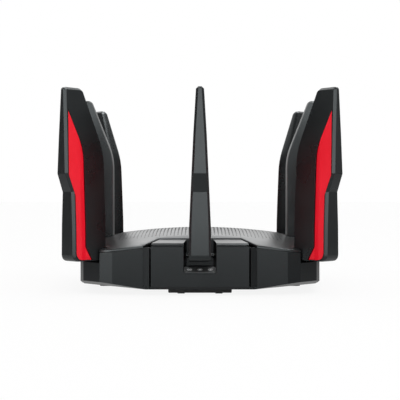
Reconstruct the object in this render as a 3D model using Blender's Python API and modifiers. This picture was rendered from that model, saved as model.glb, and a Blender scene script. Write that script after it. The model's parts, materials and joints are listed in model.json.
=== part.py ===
"""A square wireless router with eight blade antennas: one at each corner and one at the middle of each side.

The frame is +Z up, the front faces -Y, and the origin is on the surface that the feet stand on,
under the middle of the body. Lengths are in millimetres, and MM turns them into Blender's metres.
The antennas are drawn in a radial plane: r runs outward from the body's middle, z runs up.
"""

import math

import bmesh
import bpy
from mathutils import Matrix, Vector

MM = 0.001
GAP = 0.3  # clearance between pieces that touch
LONGEST_STEP = 6.0  # of the straight parts that make up a wide arc
BEYOND = 80.0  # how far a cutter reaches where its end doesn't matter
PAST_FACE = 5.0  # how far one reaches past a block's face
PAST = 1.0  # how far one reaches past any other surface that it opens, or a joined piece into its neighbour

# Body plan: a square with cut corners
FLANK = 109.5  # from the middle to the side walls
FLANK_END = 77.5  # where the wall starts to turn towards the corner
FACET_END = (105.5, 89.1)  # where the turned wall meets the corner face
WALL = 2.5
FLOOR_BOTTOM = 5.0
FLOOR_TOP = 7.5

# Underside: each corner slopes up from a diagonal line
SLOPE_START = 111.4  # along the diagonal
SLOPE = 0.234

# Top: a shallow dome
DOME_HEIGHT = 57.0
DOME_FALL = 0.0009  # height lost per square millimetre of radius
COVER_THICK = 2.2

# Side blocks, one in the middle of each side
BLOCK_FACE = 113.5
BLOCK_HALF = 43.0
BLOCK_SHOULDER = (50.2, 109.9)
BLOCK_BACK = (37.0, 84.0)
BEVEL_START = 0.9  # where the bevel beside the face would meet it, outside BLOCK_HALF
GROOVE = (43.2, 44.7, 104.0)  # the gap beside the face: its two sides and its inner end
SEAM = (42.8, 44.2, 107.5)  # the groove under the face's top edge: its bottom, top and inner end
SEAM_PAST_GROOVE = 0.5  # how far it runs past the inner side of the gap beside the face
BLOCK_WALL = 2.0
PLATE_BACK = 36.1  # half the width of the block's raised plate at its back
TRENCH_BOTTOM = 42.0  # of the trench between the raised plate and the cover
HOLLOW_INSET = (3.0, (3.6, 3.4), (2.2, 2.0))  # inside the face's end, the shoulder and the back corner
HOLLOW_LOW_TOP = 40.2  # the wide hollows are no higher than this, to clear the trench
HOLLOW_HIGH_FRONT = 106.0  # the narrow hollows above them start this far out
HOLLOW_HIGH_INSET = 1.0  # their front ends are this much narrower than the raised plate allows
BLOCK_TOP_FRONT = 45.9
BLOCK_TOP_RISE = 0.08
BLOCK_CHAMFER_TOP = 1.4
BLOCK_CHAMFER_BOTTOM = 2.7
ROOF_THICK = 2.0

# The pocket in each block, in which an antenna stands
POCKET_FRONT = 14.7
POCKET_BACK = 12.2
POCKET_END = 85.3
POCKET_FLOOR = 19.9
POCKET_WALL = 1.8
POCKET_WALL_BOTTOM = 17.5
POCKET_ROUND = 2.5

# The pocket in each corner of the bottom shell, in diagonal coordinates
CORNER_POCKET_HALF = 11.2
CORNER_POCKET_BACK = 126.0
CORNER_POCKET_FLOOR = 28.2
CORNER_CHEEK = 15.4

# Antennas
HINGE_R = 90.0  # of a side antenna
HINGE_Z = 34.0
CORNER_SHIFT = 42.3  # how much further out a corner antenna stands
TRUNNION_RADIUS = 2.0
TRUNNION_HALF = 13.8
HOLE_RADIUS = 2.3
BLADE = (  # r, z and corner radius
    (122.3, 30.0, 6.0),
    (122.4, 91.0, 1.5),
    (128.7, 107.0, 1.5),
    (127.7, 182.7, 2.6),
    (107.9, 182.7, 5.0),
    (86.0, 127.0, 60.0),
    (86.0, 30.0, 3.0),
)
HALF_THICK = ((30.0, 9.9), (61.0, 9.5), (86.0, 8.45), (107.0, 7.4), (141.0, 5.85), (183.0, 3.4))
BLADE_CHAMFER = 2.1
FOOT_CHAMFER = 0.25  # the share of it on the bottom edges
INNER_CHAMFER = 0.35  # the share of it on the edges that face the body's middle
INLAY = (
    (119.1, 31.3, 6.4),
    (119.2, 88.2, 2.0),
    (125.6, 105.6, 1.5),
    (124.3, 161.8, 0.0),
    (108.8, 127.8, 40.0),
    (108.8, 42.8, 3.0),
    (102.2, 31.3, 0.0),
)
INLAY_CREASE = 113.5
INLAY_FLAT = 108.4
INLAY_FALL = 0.2
INLAY_SUNK = 0.15
INLAY_THICK = 2.2
BOARD_SLOT = ((96.0, 112.0), 148.0, 1.5)  # the r range, the top and the half width
RADIATOR = ((97.0, 111.0), (40.0, 146.0), 0.5)

# Front button shelf
SHELF_TOP = 24.7
SHELF_EDGE = 105.8
SHELF_FRONT = (113.2, 20.5)
SHELF_THICK = 1.4
SHELF_LIP = 0.7  # the height of its front edge
MOUTH_BELOW = 0.9  # how far the opening in the block's face reaches below the shelf
BUTTON_PITCH = 9.2
BUTTON_SIZE = (5.6, 3.4)
BUTTON_PROUD = 0.4
BUTTON_FORWARD = 0.7  # from the middle of the slope towards its lower edge
BUTTON_ROUND = 1.0
BUTTON_SKIRT = 0.8  # how much wider and longer than the cap
BUTTON_SKIRT_THICK = 0.7
BUTTON_SKIRT_ROUND = 1.2

# Electronics
BOARD_BOTTOM = 14.0
BOARD_THICK = 1.6
BOARD_HALF = 100.0
BOARD_CORNER = 104.0
POST_AT = 66.0
POST_RADIUS = 3.5
CAN = (64.0, 64.0, 4.5)
SINK = (78.0, 78.0, 16.0)
SINK_BASE = 3.0
SINK_FINS = 9
FIN_THICK = 1.8

# Sockets: width, height and depth
NET_SOCKET = (16.0, 13.5, 21.0)
NET_PLUG = (11.9, 8.2, 15.0)
NET_LATCH = (6.4, 2.4, 12.0)
USB_SOCKET = (14.5, 7.2, 16.0)
USB_PLUG = (12.6, 5.2, 12.0)
USB_TONGUE = (11.0, 1.9, 10.5)
DC_SOCKET = (9.4, 11.0, 14.0)
DC_HOLE_RADIUS = 3.2
DC_PIN_RADIUS = 1.0
SOCKET_SUNK = 0.2  # how far the mouths lie behind the wall's face
NET_IN_BLOCK = 29.5
NET_IN_FLANK = 62.0
USB_IN_FLANK = 62.0
REAR_NET = -60.0
DC_AT = 57.0
POWER_AT = 69.5
POWER_SIZE = 7.6
POWER_CAP = (-2.2, 2.5)  # its front and back ends, from the wall's face inward
POWER_EDGE = 0.5
POWER_STEM = 4.0
RESET_AT = -73.0
RESET_RADIUS = 1.6
RESET_CAP = (0.6, 4.0)
RESET_STEM_RADIUS = 2.5
KEY_Z = 22.0
KEY_DEPTH = 9.0

# Feet
FOOT_HALF = 28.5
FOOT_R = (86.0, 97.0)
FOOT_BOTTOM = 0.8
FOOT_EDGE = 0.8
PAD_AT = 17.0
PAD_SIZE = (6.5, 7.0)

SIDES = {"front": -90, "right": 0, "rear": 90, "left": 180}
CORNERS = {"front_right": -45, "rear_right": 45, "rear_left": 135, "front_left": -135}


# ---------------------------------------------------------------- helpers

def make_material(name, colour, roughness, metallic=0.0):
    material = bpy.data.materials.new(name)
    material.use_nodes = True
    shader = material.node_tree.nodes["Principled BSDF"]
    shader.inputs["Base Color"].default_value = (*colour, 1.0)
    shader.inputs["Roughness"].default_value = roughness
    shader.inputs["Metallic"].default_value = metallic
    material.diffuse_color = (*colour, 1.0)
    return material


def add_object(name, mesh):
    thing = bpy.data.objects.new(name, mesh)
    parts.objects.link(thing)
    return thing


def drop(thing):
    bpy.data.objects.remove(thing, do_unlink=True)


def evaluated_mesh(thing):
    bpy.context.view_layer.update()
    graph = bpy.context.evaluated_depsgraph_get()
    return bpy.data.meshes.new_from_object(thing.evaluated_get(graph))


def settle(thing):
    """Applies the object's modifiers."""
    mesh = evaluated_mesh(thing)
    thing.modifiers.clear()
    thing.data = mesh
    return thing


def edit(thing, change):
    """Runs change on the object's mesh as a bmesh."""
    work = bmesh.new()
    work.from_mesh(thing.data)
    change(work)
    bmesh.ops.recalc_face_normals(work, faces=work.faces)
    work.to_mesh(thing.data)
    work.free()
    return thing


def weld(work):
    bmesh.ops.remove_doubles(work, verts=work.verts, dist=0.001 * MM)


def transformed(thing, matrix):
    thing.data.transform(matrix)
    return thing


def turned(thing, degrees):
    return transformed(thing, Matrix.Rotation(math.radians(degrees), 4, "Z"))


def moved(thing, x, y, z):
    return transformed(thing, Matrix.Translation(Vector((x, y, z)) * MM))


def combine(thing, others, operation):
    """Joins or cuts the object with the others, which are used up."""
    for other in others:
        modifier = thing.modifiers.new(operation.lower(), "BOOLEAN")
        modifier.operation = operation
        modifier.object = other
    settle(thing)
    for other in others:
        drop(other)
    return thing


def cut(thing, *cutters):
    return combine(thing, cutters, "DIFFERENCE")


def join(thing, *others):
    return combine(thing, others, "UNION")


def keep(thing, *others):
    return combine(thing, others, "INTERSECT")


def bevelled(thing, width, segments=2, angle=35):
    modifier = thing.modifiers.new("bevel", "BEVEL")
    modifier.width = width * MM
    modifier.segments = segments
    modifier.angle_limit = math.radians(angle)
    return settle(thing)


def box(name, x, y, z):
    """A box between three pairs of limits."""
    middle = Vector([sum(pair) / 2 for pair in (x, y, z)]) * MM
    size = Vector([abs(pair[1] - pair[0]) for pair in (x, y, z)]) * MM
    mesh = bpy.data.meshes.new(name)
    work = bmesh.new()
    bmesh.ops.create_cube(work, size=1.0)
    bmesh.ops.scale(work, vec=size, verts=work.verts)
    bmesh.ops.translate(work, vec=middle, verts=work.verts)
    work.to_mesh(mesh)
    work.free()
    return add_object(name, mesh)


def rod(name, radius, start, end, segments=24):
    """A round rod from one point to another."""
    start = Vector(start) * MM
    end = Vector(end) * MM
    run = end - start
    mesh = bpy.data.meshes.new(name)
    work = bmesh.new()
    bmesh.ops.create_cone(
        work, cap_ends=True, segments=segments, radius1=radius * MM, radius2=radius * MM, depth=run.length
    )
    work.to_mesh(mesh)
    work.free()
    mesh.transform(run.to_track_quat("Z", "Y").to_matrix().to_4x4())
    mesh.transform(Matrix.Translation((start + end) / 2))
    return add_object(name, mesh)


def rounded(corners, step=24):
    """The points of a closed outline whose corners (x, y, radius) are rounded with arcs.

    A part of an arc turns by about step degrees, and is not much longer than LONGEST_STEP.
    """
    points = []
    for index, (x, y, radius) in enumerate(corners):
        here = Vector((x, y))
        back = (Vector(corners[index - 1][:2]) - here).normalized()
        ahead = (Vector(corners[(index + 1) % len(corners)][:2]) - here).normalized()
        half = back.angle(ahead) / 2
        turn = math.pi - 2 * half
        if radius <= 0 or turn < 0.01:
            points.append((x, y))
            continue
        centre = here + (back + ahead).normalized() * (radius / math.sin(half))
        first = here + back * (radius / math.tan(half)) - centre
        last = here + ahead * (radius / math.tan(half)) - centre
        sweep = math.atan2(first.x * last.y - first.y * last.x, first.dot(last))
        by_angle = round(math.degrees(abs(sweep)) / step)
        by_length = round(abs(sweep) * radius / LONGEST_STEP)
        steps = max(1, by_angle, by_length)
        for count in range(steps + 1):
            angle = sweep * count / steps
            spot = centre + Matrix.Rotation(angle, 2) @ first
            points.append((spot.x, spot.y))
    return points


def offset(corners, distance):
    """The corners of a counterclockwise outline, moved outward by a distance. Radii grow with it."""
    result = []
    count = len(corners)
    for index in range(count):
        before, here, after = (Vector(corners[(index + k) % count][:2]) for k in (-1, 0, 1))
        one = (here - before).normalized()
        two = (after - here).normalized()
        normal_one = Vector((one.y, -one.x))
        normal_two = Vector((two.y, -two.x))
        bisector = (normal_one + normal_two).normalized()
        spot = here + bisector * (distance / bisector.dot(normal_one))
        convex = one.x * two.y - one.y * two.x > 0
        radius = corners[index][2]
        if radius:
            radius = max(radius + (distance if convex else -distance), 0)
        result.append((spot.x, spot.y, radius))
    return result


def slab(name, outline, low, high):
    """A flat outline made solid between two heights."""
    curve = bpy.data.curves.new(name, "CURVE")
    curve.dimensions = "2D"
    curve.fill_mode = "BOTH"
    curve.extrude = (high - low) / 2 * MM
    spline = curve.splines.new("POLY")
    spline.points.add(len(outline) - 1)
    for point, (x, y) in zip(spline.points, outline):
        point.co = (x * MM, y * MM, 0, 1)
    spline.use_cyclic_u = True
    guide = bpy.data.objects.new(name, curve)
    parts.objects.link(guide)
    solid = add_object(name, evaluated_mesh(guide))
    drop(guide)
    edit(solid, weld)
    return moved(solid, 0, 0, (low + high) / 2)


def upright(thing):
    """Turns a slab drawn as (r, z) up, so that its thickness runs along Y."""
    return transformed(thing, Matrix.Rotation(math.radians(90), 4, "X"))


def sliced(thing, point, normal):
    """Cuts away what lies beyond a plane, and closes the solid."""
    def change(work):
        found = bmesh.ops.bisect_plane(
            work,
            geom=work.verts[:] + work.edges[:] + work.faces[:],
            dist=0.0001 * MM,
            plane_co=Vector(point) * MM,
            plane_no=Vector(normal).normalized(),
            clear_outer=True,
        )
        edges = [item for item in found["geom_cut"] if isinstance(item, bmesh.types.BMEdge)]
        bmesh.ops.contextual_create(work, geom=edges)
    return edit(thing, change)


def scored(thing, axis, places):
    """Adds edges where planes across an axis pass through the solid."""
    normal = Vector([index == axis for index in range(3)])

    def change(work):
        for place in places:
            bmesh.ops.bisect_plane(
                work,
                geom=work.verts[:] + work.edges[:] + work.faces[:],
                dist=0.0001 * MM,
                plane_co=normal * place * MM,
                plane_no=normal,
            )
    return edit(thing, change)


def named(thing, name, material):
    thing.name = name
    thing.data.name = name
    thing.data.materials.clear()
    thing.data.materials.append(material)
    thing.data.shade_smooth()
    thing.data.set_sharp_from_angle(angle=math.radians(25))
    return thing


# ---------------------------------------------------------------- antennas

def half_thickness(z):
    for (low, thick_low), (high, thick_high) in zip(HALF_THICK, HALF_THICK[1:]):
        if z <= high:
            return thick_low + (thick_high - thick_low) * (z - low) / (high - low)
    return HALF_THICK[-1][1]


def to_hinge(thing):
    """Moves a piece drawn in r and z so that its origin lies on the hinge axis."""
    return moved(thing, -HINGE_R, 0, -HINGE_Z)


def score_stations(solid):
    """Adds edges at the heights where the blade's taper changes."""
    return scored(solid, 2, [z for z, _ in HALF_THICK[1:-1]])


def lofted_slab(name, corners, near, far, scores=()):
    """An upright slab whose two sides lie at near(r, z) and far(r, z)."""
    slab_half = 1.0
    solid = upright(slab(name, rounded(corners), -slab_half, slab_half))
    score_stations(solid)
    scored(solid, 0, scores)
    for vertex in solid.data.vertices:
        r = vertex.co.x / MM
        z = vertex.co.z / MM
        side = far if vertex.co.y > 0 else near
        vertex.co.y = side(r, z) * MM
    return solid


def outline_normals(points):
    """The outward normal at each point of a counterclockwise outline, long enough to move its edges by 1."""
    normals = []
    for index, point in enumerate(points):
        one = (Vector(point) - Vector(points[index - 1])).normalized()
        two = (Vector(points[(index + 1) % len(points)]) - Vector(point)).normalized()
        normal = Vector((one.y + two.y, -one.x - two.x)).normalized()
        normals.append(normal / normal.dot(Vector((one.y, -one.x))))
    return normals


def chamfered_loft(name, points, half):
    """An upright slab with chamfered rims, lofted through four outlines."""
    narrow = []
    for point, normal in zip(points, outline_normals(points)):
        facing = normal.normalized()
        share = 1 - (1 - FOOT_CHAMFER) * max(0.0, -facing.y) - (1 - INNER_CHAMFER) * max(0.0, -facing.x)
        narrow.append(Vector(point) - normal * BLADE_CHAMFER * max(share, FOOT_CHAMFER))
    rim = half - BLADE_CHAMFER
    work = bmesh.new()
    rings = []
    for outline, y in ((narrow, -half), (points, -rim), (points, rim), (narrow, half)):
        rings.append([work.verts.new((spot[0] * MM, y * MM, spot[1] * MM)) for spot in outline])
    for ring, after in zip(rings, rings[1:]):
        for index in range(len(points)):
            work.faces.new((ring[index - 1], ring[index], after[index], after[index - 1]))
    work.faces.new(rings[0])
    work.faces.new(rings[-1][::-1])
    mesh = bpy.data.meshes.new(name)
    bmesh.ops.recalc_face_normals(work, faces=work.faces)
    work.to_mesh(mesh)
    work.free()
    return add_object(name, mesh)


def make_blade():
    even = 12.0
    blade = score_stations(chamfered_loft("blade", rounded(BLADE), even))
    # The even slab is thinned to the blade's taper, and keeps its chamfer's depth
    for vertex in blade.data.vertices:
        depth = even - abs(vertex.co.y) / MM
        thin = half_thickness(vertex.co.z / MM) - depth
        vertex.co.y = math.copysign(thin * MM, vertex.co.y)
    beyond = 20.0
    recess = offset(INLAY, GAP)
    floor = INLAY_THICK + GAP
    left = lofted_slab("recess", recess, lambda r, z: -beyond, lambda r, z: floor - half_thickness(z))
    right = lofted_slab("recess", recess, lambda r, z: half_thickness(z) - floor, lambda r, z: beyond)
    slot_r, slot_top, slot_half = BOARD_SLOT
    slot = box("slot", slot_r, (-slot_half, slot_half), (0, slot_top))
    cut(blade, left, right, slot)
    axle_ends = [(HINGE_R, side * TRUNNION_HALF, HINGE_Z) for side in (-1, 1)]
    axle = rod("axle", TRUNNION_RADIUS, *axle_ends, 16)
    join(blade, axle)
    return to_hinge(blade)


def make_inlay(side):
    """The red panel in one face of the blade, on the -Y side for -1 and on the +Y side for 1."""
    def outer(r, z):
        fall = INLAY_FALL * (INLAY_CREASE - min(max(r, INLAY_FLAT), INLAY_CREASE))
        return side * (half_thickness(z) - INLAY_SUNK - fall)

    def inner(r, z):
        return side * (half_thickness(z) - INLAY_THICK)

    near, far = (outer, inner) if side < 0 else (inner, outer)
    scores = (INLAY_FLAT, INLAY_CREASE)
    return to_hinge(lofted_slab("inlay", INLAY, near, far, scores))


def make_radiator():
    r, z, half = RADIATOR
    return to_hinge(box("radiator", r, (-half, half), z))


def make_antennas():
    pieces = {
        "shell": (make_blade(), shell_plastic),
        "inlay_left": (make_inlay(-1), red_plastic),
        "inlay_right": (make_inlay(1), red_plastic),
        "radiator": (make_radiator(), board_green),
    }
    for kind, (piece, material) in pieces.items():
        named(piece, "antenna_" + kind, material)
    places = {**SIDES, **CORNERS}
    for place, degrees in places.items():
        angle = math.radians(degrees)
        radius = (HINGE_R + (CORNER_SHIFT if place in CORNERS else 0)) * MM
        hinge = bpy.data.objects.new("antenna_" + place + "_hinge", None)
        hinge.location = (radius * math.cos(angle), radius * math.sin(angle), HINGE_Z * MM)
        hinge.rotation_euler = (0, 0, angle)
        hinge.empty_display_size = 0.02
        parts.objects.link(hinge)
        for kind, (piece, _) in pieces.items():
            copy = add_object("antenna_" + place + "_" + kind, piece.data)
            copy.parent = hinge
    for piece, _ in pieces.values():
        drop(piece)


# ---------------------------------------------------------------- housing

def body_outline(inset=0.0):
    """The body's plan, counterclockwise from the front right."""
    turn, across = FACET_END
    quarter = [(FLANK_END, -FLANK, 0), (across, -turn, 0), (turn, -across, 0), (FLANK, -FLANK_END, 0)]
    corners = []
    for count in range(4):
        spin = Matrix.Rotation(math.radians(90 * count), 2)
        corners += [(*(spin @ Vector(corner[:2])), 0) for corner in quarter]
    return offset(corners, -inset)


def dome(radius, drop_by=0.0):
    return DOME_HEIGHT - DOME_FALL * radius * radius - drop_by


def dome_solid(name, sink, bottom):
    """A round solid under the dome, lowered by sink."""
    edge = 150.0
    rings = 6
    profile = [(edge * count / rings, dome(edge * count / rings, sink)) for count in range(rings + 1)]
    profile.append((edge, bottom))
    profile.append((0.0, bottom))
    mesh = bpy.data.meshes.new(name)
    mesh.from_pydata([(r * MM, 0, z * MM) for r, z in profile], [], [])
    work = bmesh.new()
    work.from_mesh(mesh)
    work.verts.ensure_lookup_table()
    for index in range(len(profile) - 1):
        work.edges.new((work.verts[index], work.verts[index + 1]))
    work.to_mesh(mesh)
    work.free()
    solid = add_object(name, mesh)
    screw = solid.modifiers.new("turn", "SCREW")
    screw.steps = 48
    screw.render_steps = 48
    screw.use_merge_vertices = True
    screw.merge_threshold = 0.00001
    settle(solid)
    return edit(solid, weld)


def corner_slopes(thing, raised):
    """Cuts the four sloping corners of the underside, raised by a height."""
    for degrees in CORNERS.values():
        outward = Vector((math.cos(math.radians(degrees)), math.sin(math.radians(degrees)), 0))
        point = outward * SLOPE_START + Vector((0, 0, FLOOR_BOTTOM + raised))
        sliced(thing, point, outward * SLOPE + Vector((0, 0, -1)))
    return thing


def block_plan(inset=0.0):
    """The plan of the front block without its groove, counterclockwise from the front right."""
    x, y = BLOCK_SHOULDER
    back_x, back_y = BLOCK_BACK
    corners = [
        (BLOCK_HALF + BEVEL_START, -BLOCK_FACE, 0),
        (x, -y, 0),
        (back_x, -back_y, 0),
        (-back_x, -back_y, 0),
        (-x, -y, 0),
        (-BLOCK_HALF - BEVEL_START, -BLOCK_FACE, 0),
    ]
    return [corner[:2] for corner in offset(corners, -inset)]


def corner_pocket(name, degrees, half, back, low, high):
    """A box over one corner's antenna, open outward."""
    beyond = 200.0
    pocket = box(name, (back, beyond), (-half, half), (low, high))
    return turned(pocket, degrees)


def hinge_hole(r, half):
    """A cutter for the two holes that hold an antenna's trunnions, drawn on the +X side."""
    return rod("hole", HOLE_RADIUS, (r, -half, HINGE_Z), (r, half, HINGE_Z), 16)


def make_bottom_shell():
    outline = [corner[:2] for corner in body_outline()]
    inner = [corner[:2] for corner in body_outline(WALL)]
    shell = corner_slopes(slab("shell", outline, FLOOR_BOTTOM, BEYOND), 0)
    under_cover = COVER_THICK + GAP
    keep(shell, dome_solid("under_cover", under_cover, -BEYOND))
    hollow = corner_slopes(slab("hollow", inner, FLOOR_TOP, BEYOND), WALL)
    for degrees in CORNERS.values():
        back = CORNER_POCKET_BACK - WALL
        low = CORNER_POCKET_FLOOR - WALL
        cut(hollow, corner_pocket("cheeks", degrees, CORNER_CHEEK, back, low, 2 * BEYOND))
    cut(shell, hollow)
    for degrees in CORNERS.values():
        pocket = corner_pocket(
            "pocket", degrees, CORNER_POCKET_HALF, CORNER_POCKET_BACK, CORNER_POCKET_FLOOR, BEYOND
        )
        hole = hinge_hole(HINGE_R + CORNER_SHIFT, TRUNNION_HALF + GAP)
        cut(shell, pocket, turned(hole, degrees))
    floor_edge = BLOCK_FACE - BLOCK_WALL - GAP
    for degrees in SIDES.values():
        opening = slab("opening", block_plan(-GAP), FLOOR_BOTTOM - PAST, BEYOND)
        ledge = box("ledge", (-BEYOND, BEYOND), (-floor_edge, 0), (0, FLOOR_TOP))
        cut(opening, ledge)
        cut(shell, turned(opening, degrees + 90))
    for x in (-POST_AT, POST_AT):
        for y in (-POST_AT, POST_AT):
            top = BOARD_BOTTOM - GAP
            join(shell, rod("post", POST_RADIUS, (x, y, FLOOR_TOP - PAST), (x, y, top), 16))
    return shell


def make_top_cover():
    outline = [corner[:2] for corner in body_outline()]
    cover = slab("cover", outline, 0, BEYOND)
    keep(cover, dome_solid("over", 0, -BEYOND))
    cut(cover, dome_solid("under", COVER_THICK, -BEYOND))
    for degrees in CORNERS.values():
        cut(cover, corner_pocket("slot", degrees, CORNER_POCKET_HALF, CORNER_POCKET_BACK, 0, BEYOND))
    for degrees in SIDES.values():
        cut(cover, turned(slab("opening", block_plan(-GAP), 0, BEYOND), degrees + 90))
    return cover


def roof_height(y, sink=0.0):
    """The height of the block's top at a distance y from the middle."""
    return BLOCK_TOP_FRONT + (BLOCK_FACE - y) * BLOCK_TOP_RISE - sink


def plate_side(side, outset=0.0):
    """The front and back ends of one side edge of the block's raised plate, moved outward by outset."""
    front = (side * (GROOVE[0] + outset), -BLOCK_FACE - PAST)
    back = (side * (PLATE_BACK + outset), -BLOCK_BACK[1] + PAST)
    return [front, back]


def make_block(has_shelf):
    """The front block. Its pocket has a floor of its own unless the button shelf fills it."""
    block = slab("block", block_plan(), FLOOR_BOTTOM, BEYOND)
    roof_normal = (0, -BLOCK_TOP_RISE, 1)
    sliced(block, (0, -BLOCK_FACE, roof_height(BLOCK_FACE)), roof_normal)
    edge_top = roof_height(BLOCK_FACE) - BLOCK_CHAMFER_TOP
    sliced(block, (0, -BLOCK_FACE, edge_top), (0, -1, 1))
    sliced(block, (0, -BLOCK_FACE, FLOOR_BOTTOM + BLOCK_CHAMFER_BOTTOM), (0, -1, -1))

    near, far, depth = GROOVE
    for side in (-1, 1):
        limits = sorted((side * near, side * far))
        cut(block, box("groove", limits, (-BLOCK_FACE - PAST, -depth), (0, BEYOND)))
    low, high, depth = SEAM
    half = near + SEAM_PAST_GROOVE
    cut(block, box("seam", (-half, half), (-BLOCK_FACE - PAST, -depth), (low, high)))
    for side in (-1, 1):
        front, back = plate_side(side)
        plan = [front, back, (side * BEYOND, back[1]), (side * BEYOND, front[1])]
        cut(block, slab("trench", plan if side < 0 else plan[::-1], TRENCH_BOTTOM, BEYOND))

    # Behind its face the block stops above the bottom shell's floor
    inner_y = BLOCK_FACE - BLOCK_WALL
    cut(block, box("over_floor", (-BEYOND, BEYOND), (-inner_y, 0), (0, FLOOR_TOP + GAP)))

    # Further in it stops above the circuit board
    board_edge = BOARD_HALF + PAST
    cut(block, box("over_board", (-BEYOND, BEYOND), (-board_edge, 0), (0, POCKET_WALL_BOTTOM)))

    # Two hollows beside the pocket, and one under it
    end_inset, (shoulder_x, shoulder_y), (back_x, back_y) = HOLLOW_INSET
    hollow_back = BLOCK_BACK[1] - back_y
    for side in (-1, 1):
        plan = [
            (side * (POCKET_FRONT + POCKET_WALL), -inner_y),
            (side * (BLOCK_HALF - end_inset), -inner_y),
            (side * (BLOCK_SHOULDER[0] - shoulder_x), shoulder_y - BLOCK_SHOULDER[1]),
            (side * (BLOCK_BACK[0] - back_x), -hollow_back),
            (side * (POCKET_BACK + POCKET_WALL), -hollow_back),
        ]
        cut(block, slab("hollow", plan if side > 0 else plan[::-1], 0, HOLLOW_LOW_TOP))
        front, back = plate_side(side, -ROOF_THICK)
        plan = [
            (plan[0][0], -HOLLOW_HIGH_FRONT),
            (front[0] - side * HOLLOW_HIGH_INSET, -HOLLOW_HIGH_FRONT),
            (back[0], -hollow_back),
            plan[-1],
        ]
        hollow = slab("hollow", plan if side > 0 else plan[::-1], HOLLOW_LOW_TOP - PAST, BEYOND)
        sliced(hollow, (0, -BLOCK_FACE, roof_height(BLOCK_FACE, ROOF_THICK)), roof_normal)
        cut(block, hollow)
    middle = POCKET_FRONT + POCKET_WALL + PAST
    cut(block, box("under", (-middle, middle), (-inner_y, -hollow_back), (0, POCKET_WALL_BOTTOM)))

    # The pocket
    pocket_low = 0 if has_shelf else POCKET_FLOOR
    pocket_y = inner_y if has_shelf else BLOCK_FACE + PAST_FACE
    plan = [
        (pocket_half(pocket_y), -pocket_y),
        (pocket_half(POCKET_END), -POCKET_END),
        (-pocket_half(POCKET_END), -POCKET_END),
        (-pocket_half(pocket_y), -pocket_y),
    ]
    cut(block, slab("pocket", plan, pocket_low, BEYOND))
    if has_shelf:
        cut(block, make_mouth())
    cut(block, turned(hinge_hole(HINGE_R, TRUNNION_HALF + 2 * PAST), -90))
    return block


def pocket_half(y):
    """The pocket's half width at a distance y from the middle."""
    share = (y - POCKET_END) / (BLOCK_FACE - POCKET_END)
    return POCKET_BACK + (POCKET_FRONT - POCKET_BACK) * share


def mouth_slab(inset, back):
    """The outline of the opening in the front block's face, made solid from a depth outward."""
    low = SHELF_FRONT[1] - MOUTH_BELOW + inset
    half = POCKET_FRONT - inset
    corners = [
        (half, low, POCKET_ROUND),
        (half, BEYOND, 0),
        (-half, BEYOND, 0),
        (-half, low, POCKET_ROUND),
    ]
    return upright(slab("mouth", rounded(corners), back, BLOCK_FACE + PAST_FACE))


def make_mouth():
    """The cut through the block's face above the button shelf, with round lower corners."""
    mouth = mouth_slab(0.0, BLOCK_FACE - BLOCK_WALL - PAST)
    low = SHELF_FRONT[1] - MOUTH_BELOW
    run = Vector((SHELF_FRONT[0] - SHELF_EDGE, SHELF_FRONT[1] - SHELF_TOP))
    # The sill falls with the shelf
    sliced(mouth, (0, -BLOCK_FACE, low), (0, run.y, -run.x))
    return mouth


def make_shelf():
    """The floor of the front pocket, whose front part slopes down and carries three buttons."""
    run = Vector((SHELF_FRONT[0] - SHELF_EDGE, SHELF_FRONT[1] - SHELF_TOP))
    normal = Vector((-run.y, run.x)).normalized()
    back = POCKET_END + GAP
    under = Vector(SHELF_FRONT) - normal * SHELF_THICK
    slope = run.normalized()
    bend = (SHELF_TOP - SHELF_THICK - under.y) / slope.y
    profile = [
        (back, SHELF_TOP),
        (back, SHELF_TOP - SHELF_THICK),
        (under.x + slope.x * bend, SHELF_TOP - SHELF_THICK),
        (under.x, under.y),
        (SHELF_FRONT[0], SHELF_FRONT[1] - SHELF_LIP),
        SHELF_FRONT,
        (SHELF_EDGE, SHELF_TOP),
    ]
    shelf = slab("shelf", profile, -BEYOND, BEYOND)
    # The profile's first axis runs towards the front, and its thickness runs along X
    transformed(shelf, Matrix(((0, 0, 1, 0), (-1, 0, 0, 0), (0, 1, 0, 0), (0, 0, 0, 1))))
    front = BLOCK_FACE + PAST_FACE
    plan = [
        (pocket_half(front) - GAP, -front),
        (pocket_half(POCKET_END) - GAP, -POCKET_END),
        (-pocket_half(POCKET_END) + GAP, -POCKET_END),
        (-pocket_half(front) + GAP, -front),
    ]
    return keep(shelf, slab("plan", plan, 0, BEYOND), mouth_slab(GAP, 0))


def shelf_frame():
    """The matrix whose Z is the sloping shelf's normal and whose origin is the middle of the buttons' row."""
    run = Vector((0, -(SHELF_FRONT[0] - SHELF_EDGE), SHELF_FRONT[1] - SHELF_TOP)).normalized()
    across = Vector((1, 0, 0))
    normal = across.cross(-run)
    middle = Vector((0, -(SHELF_FRONT[0] + SHELF_EDGE) / 2, (SHELF_FRONT[1] + SHELF_TOP) / 2)) * MM
    frame = Matrix((across, -run, normal)).transposed().to_4x4()
    frame.translation = middle + run * BUTTON_FORWARD * MM
    return frame


def rounded_plate(name, width, length, low, high, radius):
    x = width / 2
    y = length / 2
    corners = [(x, -y, radius), (x, y, radius), (-x, y, radius), (-x, -y, radius)]
    return slab(name, rounded(corners, 30), low, high)


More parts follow.
